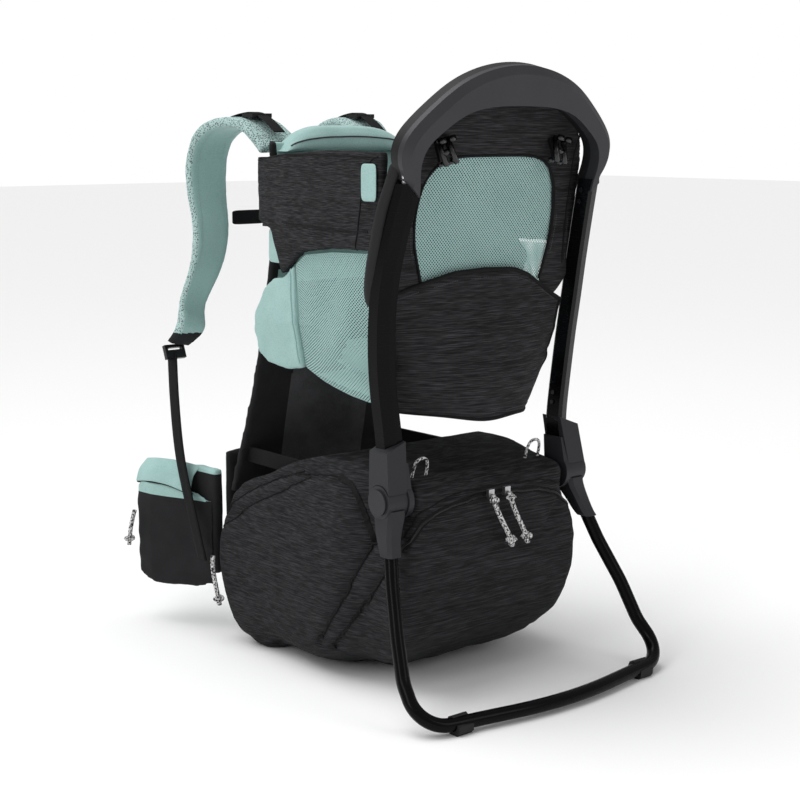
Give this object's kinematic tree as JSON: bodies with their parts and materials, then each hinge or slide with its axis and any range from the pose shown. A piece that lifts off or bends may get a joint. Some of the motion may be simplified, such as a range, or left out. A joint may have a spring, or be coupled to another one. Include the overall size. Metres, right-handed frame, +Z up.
{
  "type": "baby carrier backpack",
  "caption": "Framed child carrier backpack with a bucket seat, handle arch, storage bag, padded harness, hip belt and fold-out kickstand.",
  "frame": {"origin": "on the ground, under the middle of the plan box of the carrier", "axes": "+Z up, +X to the carrier's right, +Y towards the wearer's back panel"},
  "size_m": [0.3954, 0.5997, 0.681],
  "materials": {
    "leg_gloss": "gloss black enamel",
    "cover_plastic": "matte charcoal",
    "knuckle_plastic": "matte charcoal",
    "inner_aluminium": "mill finish",
    "steel": "satin",
    "foot_rubber": "matte",
    "sheet_plastic": "matte",
    "heather": "streaked dark heather weave",
    "plain_black": "plain weave",
    "mint_fabric": "plain knit",
    "mint_mesh": "open mesh",
    "strap_mesh": "spacer mesh",
    "webbing": "woven webbing",
    "buckle_plastic": "satin",
    "button_plastic": "satin",
    "flecked_cord": "flecked braid"
  },
  "bodies": {
    "frame": {"frame_leg_left": "leg_gloss", "frame_leg_right": "leg_gloss", "arch_cover_rear": "cover_plastic", "arch_cover_front": "leg_gloss", "arch_core": "inner_aluminium", "leg_screws": "steel", "hub_housing_left": "knuckle_plastic", "hub_housing_right": "knuckle_plastic", "hinge_pins": "steel", "hub_caps": "knuckle_plastic", "lower_struts": "inner_aluminium", "upper_struts": "inner_aluminium", "back_plate": "sheet_plastic", "back_cover": "plain_black", "back_mesh_pad": "strap_mesh", "lumbar_pad": "plain_black", "storage_bag": "heather", "rear_panel": "heather", "mesh_window": "mint_mesh", "rear_flap": "heather", "canopy_clips": "buckle_plastic", "side_band_left": "heather", "side_band_right": "heather", "bucket_side_left": "mint_mesh", "bucket_side_right": "mint_mesh", "thigh_cuff_left": "mint_fabric", "thigh_cuff_right": "mint_fabric", "collar_pad": "mint_fabric", "bucket_floor": "plain_black", "child_harness": "mint_fabric", "side_pull_cord": "flecked_cord", "cord_loop_left": "flecked_cord", "cord_loop_right": "flecked_cord"},
    "kickstand": {"kick_sleeve_left": "knuckle_plastic", "kick_sleeve_right": "knuckle_plastic", "kickstand_tube": "leg_gloss", "kick_feet": "foot_rubber"},
    "harness": {"harness_yoke": "plain_black", "shoulder_strap_left": "strap_mesh", "shoulder_strap_right": "strap_mesh", "ladder_locks": "buckle_plastic", "lower_webbing_left": "webbing", "lower_webbing_right": "webbing"},
    "sternum": {"sternum_strap": "webbing", "sternum_buckle": "buckle_plastic"},
    "hip_left": {"hip_wing_left": "mint_fabric", "hip_pocket_left": "plain_black", "hip_buckle_left": "buckle_plastic", "hip_pull_left": "flecked_cord"},
    "hip_right": {"hip_wing_right": "mint_fabric", "hip_pocket_right": "plain_black", "hip_buckle_right": "buckle_plastic", "hip_pull_right": "flecked_cord"},
    "seat": {"seat_pad": "mint_fabric", "child_buckle": "buckle_plastic"},
    "seat_button": {"buckle_button": "button_plastic"},
    "zip_left": {"zip_slider_left": "steel", "zip_cord_left": "flecked_cord"},
    "zip_right": {"zip_slider_right": "steel", "zip_cord_right": "flecked_cord"}
  },
  "joints": [
    {"name": "kickstand_fold", "type": "hinge", "parent": "frame", "child": "kickstand", "pos_m": [0, -0.155, 0.222], "axis": [1, 0, 0], "range_deg": [0, 30]},
    {"name": "torso_adjust", "type": "slide", "parent": "frame", "child": "harness", "axis": [0, 0, 1], "range_m": [-0.05, 0], "deforming": ["lower_webbing_left", "lower_webbing_right"]},
    {"name": "sternum_slide", "type": "slide", "parent": "harness", "child": "sternum", "axis": [0, 0, 1], "range_m": [-0.015, 0.015]},
    {"name": "hip_left_swing", "type": "hinge", "parent": "frame", "child": "hip_left", "pos_m": [-0.136, 0.169, 0.13], "axis": [0, 0, 1], "range_deg": [-8, 22]},
    {"name": "hip_right_swing", "type": "hinge", "parent": "frame", "child": "hip_right", "pos_m": [0.136, 0.169, 0.13], "axis": [0, 0, -1], "range_deg": [-8, 22]},
    {"name": "seat_height", "type": "slide", "parent": "frame", "child": "seat", "axis": [0, 0, 1], "range_m": [0, 0.05]},
    {"name": "buckle_press", "type": "slide", "parent": "seat", "child": "seat_button", "axis": [0, 0, -1], "range_m": [0, 0.0025], "stiffness_N_per_m": 400},
    {"name": "zip_left_slide", "type": "slide", "parent": "frame", "child": "zip_left", "axis": [-0.9928, 0, -0.12], "range_m": [0, 0.06]},
    {"name": "zip_right_slide", "type": "slide", "parent": "frame", "child": "zip_right", "axis": [0.9928, 0, -0.12], "range_m": [0, 0.06]}
  ]
}
